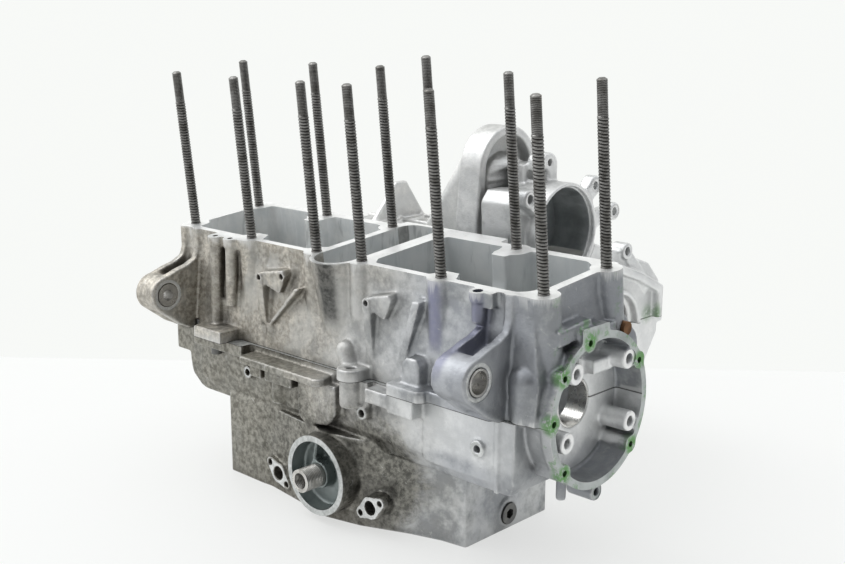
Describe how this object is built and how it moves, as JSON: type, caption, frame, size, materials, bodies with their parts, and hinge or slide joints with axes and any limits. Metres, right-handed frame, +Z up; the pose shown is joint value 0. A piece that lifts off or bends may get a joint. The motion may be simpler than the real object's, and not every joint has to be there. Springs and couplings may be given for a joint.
{
  "type": "engine crankcase",
  "caption": "Bare two-part motorcycle engine crankcase for an in-line four, with cylinder studs, bearing shells and oil filter mount.",
  "frame": {"origin": "on the crankshaft axis, midway between the two inner cylinders", "axes": "+X along the crankshaft towards the round end cover joint, +Y towards the gearbox, +Z up from the pan joint face it rests on"},
  "size_m": [0.4533, 0.4078, 0.3892],
  "materials": {
    "upper_casting": "as cast, weathered, machined faces bright",
    "lower_casting": "as cast, oily and stained",
    "stud_steel": "dark oiled, rolled ridges",
    "union_steel": "plated",
    "bush_steel": "turned",
    "dark_steel": "dark",
    "rusty_steel": "rusted",
    "bearing_metal": "polished"
  },
  "bodies": {
    "root": {"upper_case": "upper_casting", "lower_case": "lower_casting", "cylinder_studs": "stud_steel", "tall_stud_rear": "stud_steel", "filter_union": "union_steel", "ear_bush_left": "bush_steel", "ear_sleeve_right": "bush_steel", "gallery_plug": "dark_steel", "gallery_pin": "rusty_steel", "joint_dowels": "dark_steel", "main_bolts": "dark_steel", "joint_bolts": "dark_steel", "main_shell_upper_1": "bearing_metal", "main_shell_upper_2": "bearing_metal", "main_shell_upper_3": "bearing_metal", "main_shell_upper_4": "bearing_metal", "main_shell_upper_5": "bearing_metal", "main_shell_upper_6": "bearing_metal", "main_shell_lower_1": "bearing_metal", "main_shell_lower_2": "bearing_metal", "main_shell_lower_3": "bearing_metal", "main_shell_lower_4": "bearing_metal", "main_shell_lower_5": "bearing_metal", "main_shell_lower_6": "bearing_metal"}
  },
  "joints": []
}
